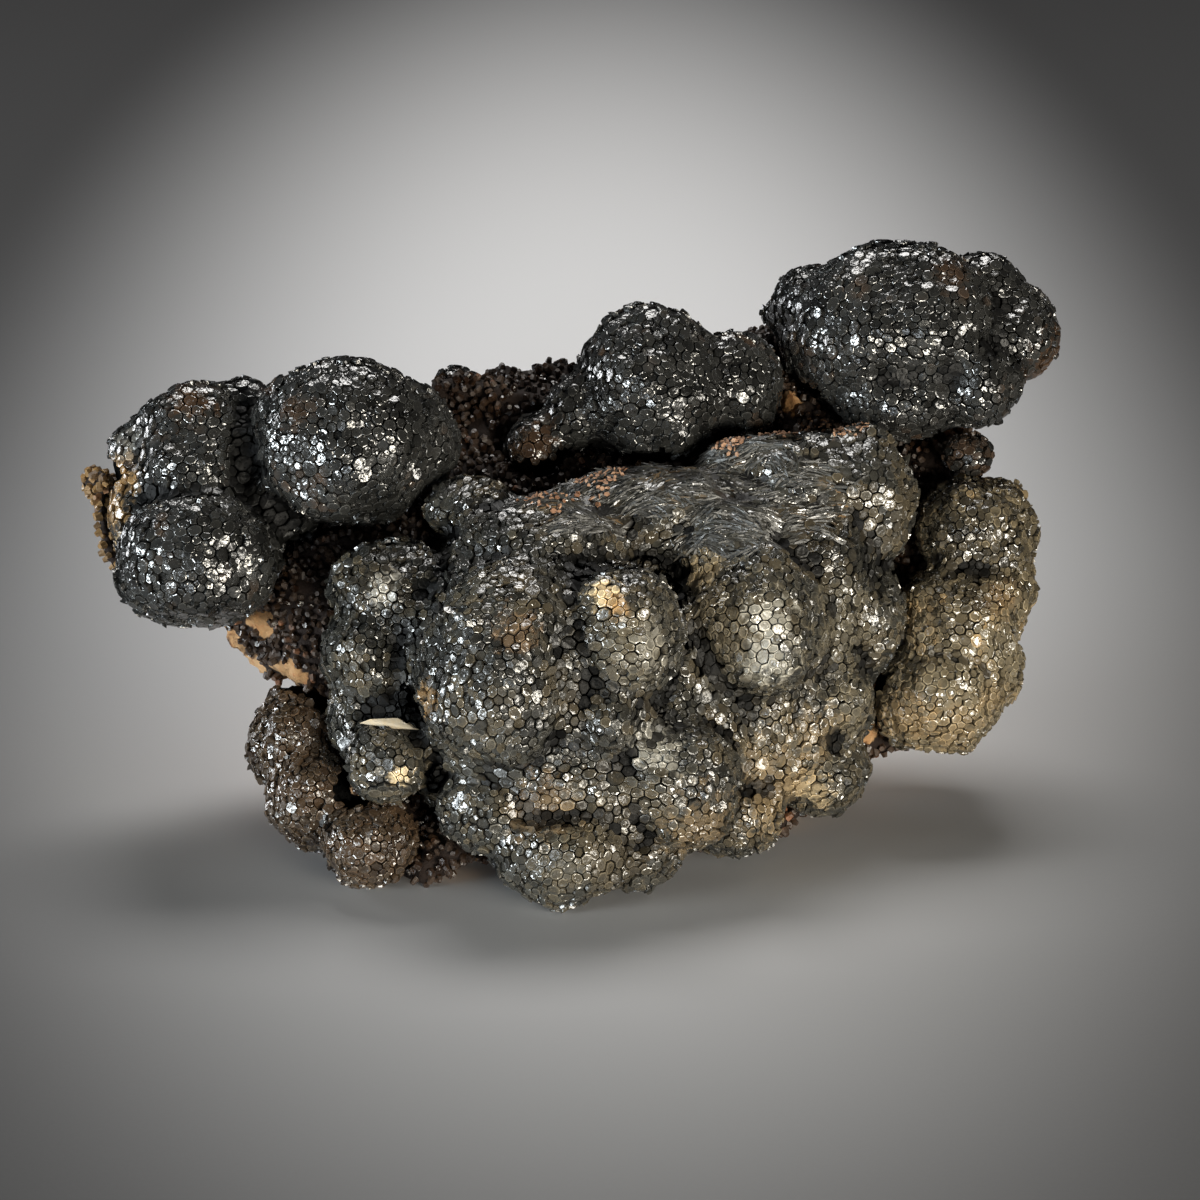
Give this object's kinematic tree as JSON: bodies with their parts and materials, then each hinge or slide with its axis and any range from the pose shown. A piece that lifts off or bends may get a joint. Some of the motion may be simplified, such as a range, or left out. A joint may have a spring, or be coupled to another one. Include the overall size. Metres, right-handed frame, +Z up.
{
  "type": "pyromorphite specimen on limonite",
  "caption": "Mineral specimen: dark rounded clusters of plate-topped pyromorphite crystals grown on a lump of brown limonite rock, standing on its flat foot.",
  "frame": {"origin": "centre of the specimen's plan, at the height of the surface that it stands on", "axes": "+X to the right along the specimen's length, +Z up, and the front with the most crystals faces -Y"},
  "size_m": [0.0826, 0.05, 0.0459],
  "materials": {
    "pyromorphite_black": "gloss",
    "pyromorphite_grey": "gloss",
    "pyromorphite_olive": "gloss",
    "limonite": "matte"
  },
  "bodies": {
    "root": {"left_cluster": "pyromorphite_black", "middle_cluster": "pyromorphite_black", "right_cluster": "pyromorphite_black", "small_right_nodule": "pyromorphite_black", "front_cluster": "pyromorphite_grey", "lower_left_cluster": "pyromorphite_olive", "right_column": "pyromorphite_olive", "rear_nodule": "pyromorphite_olive", "rock": "limonite"}
  },
  "joints": []
}
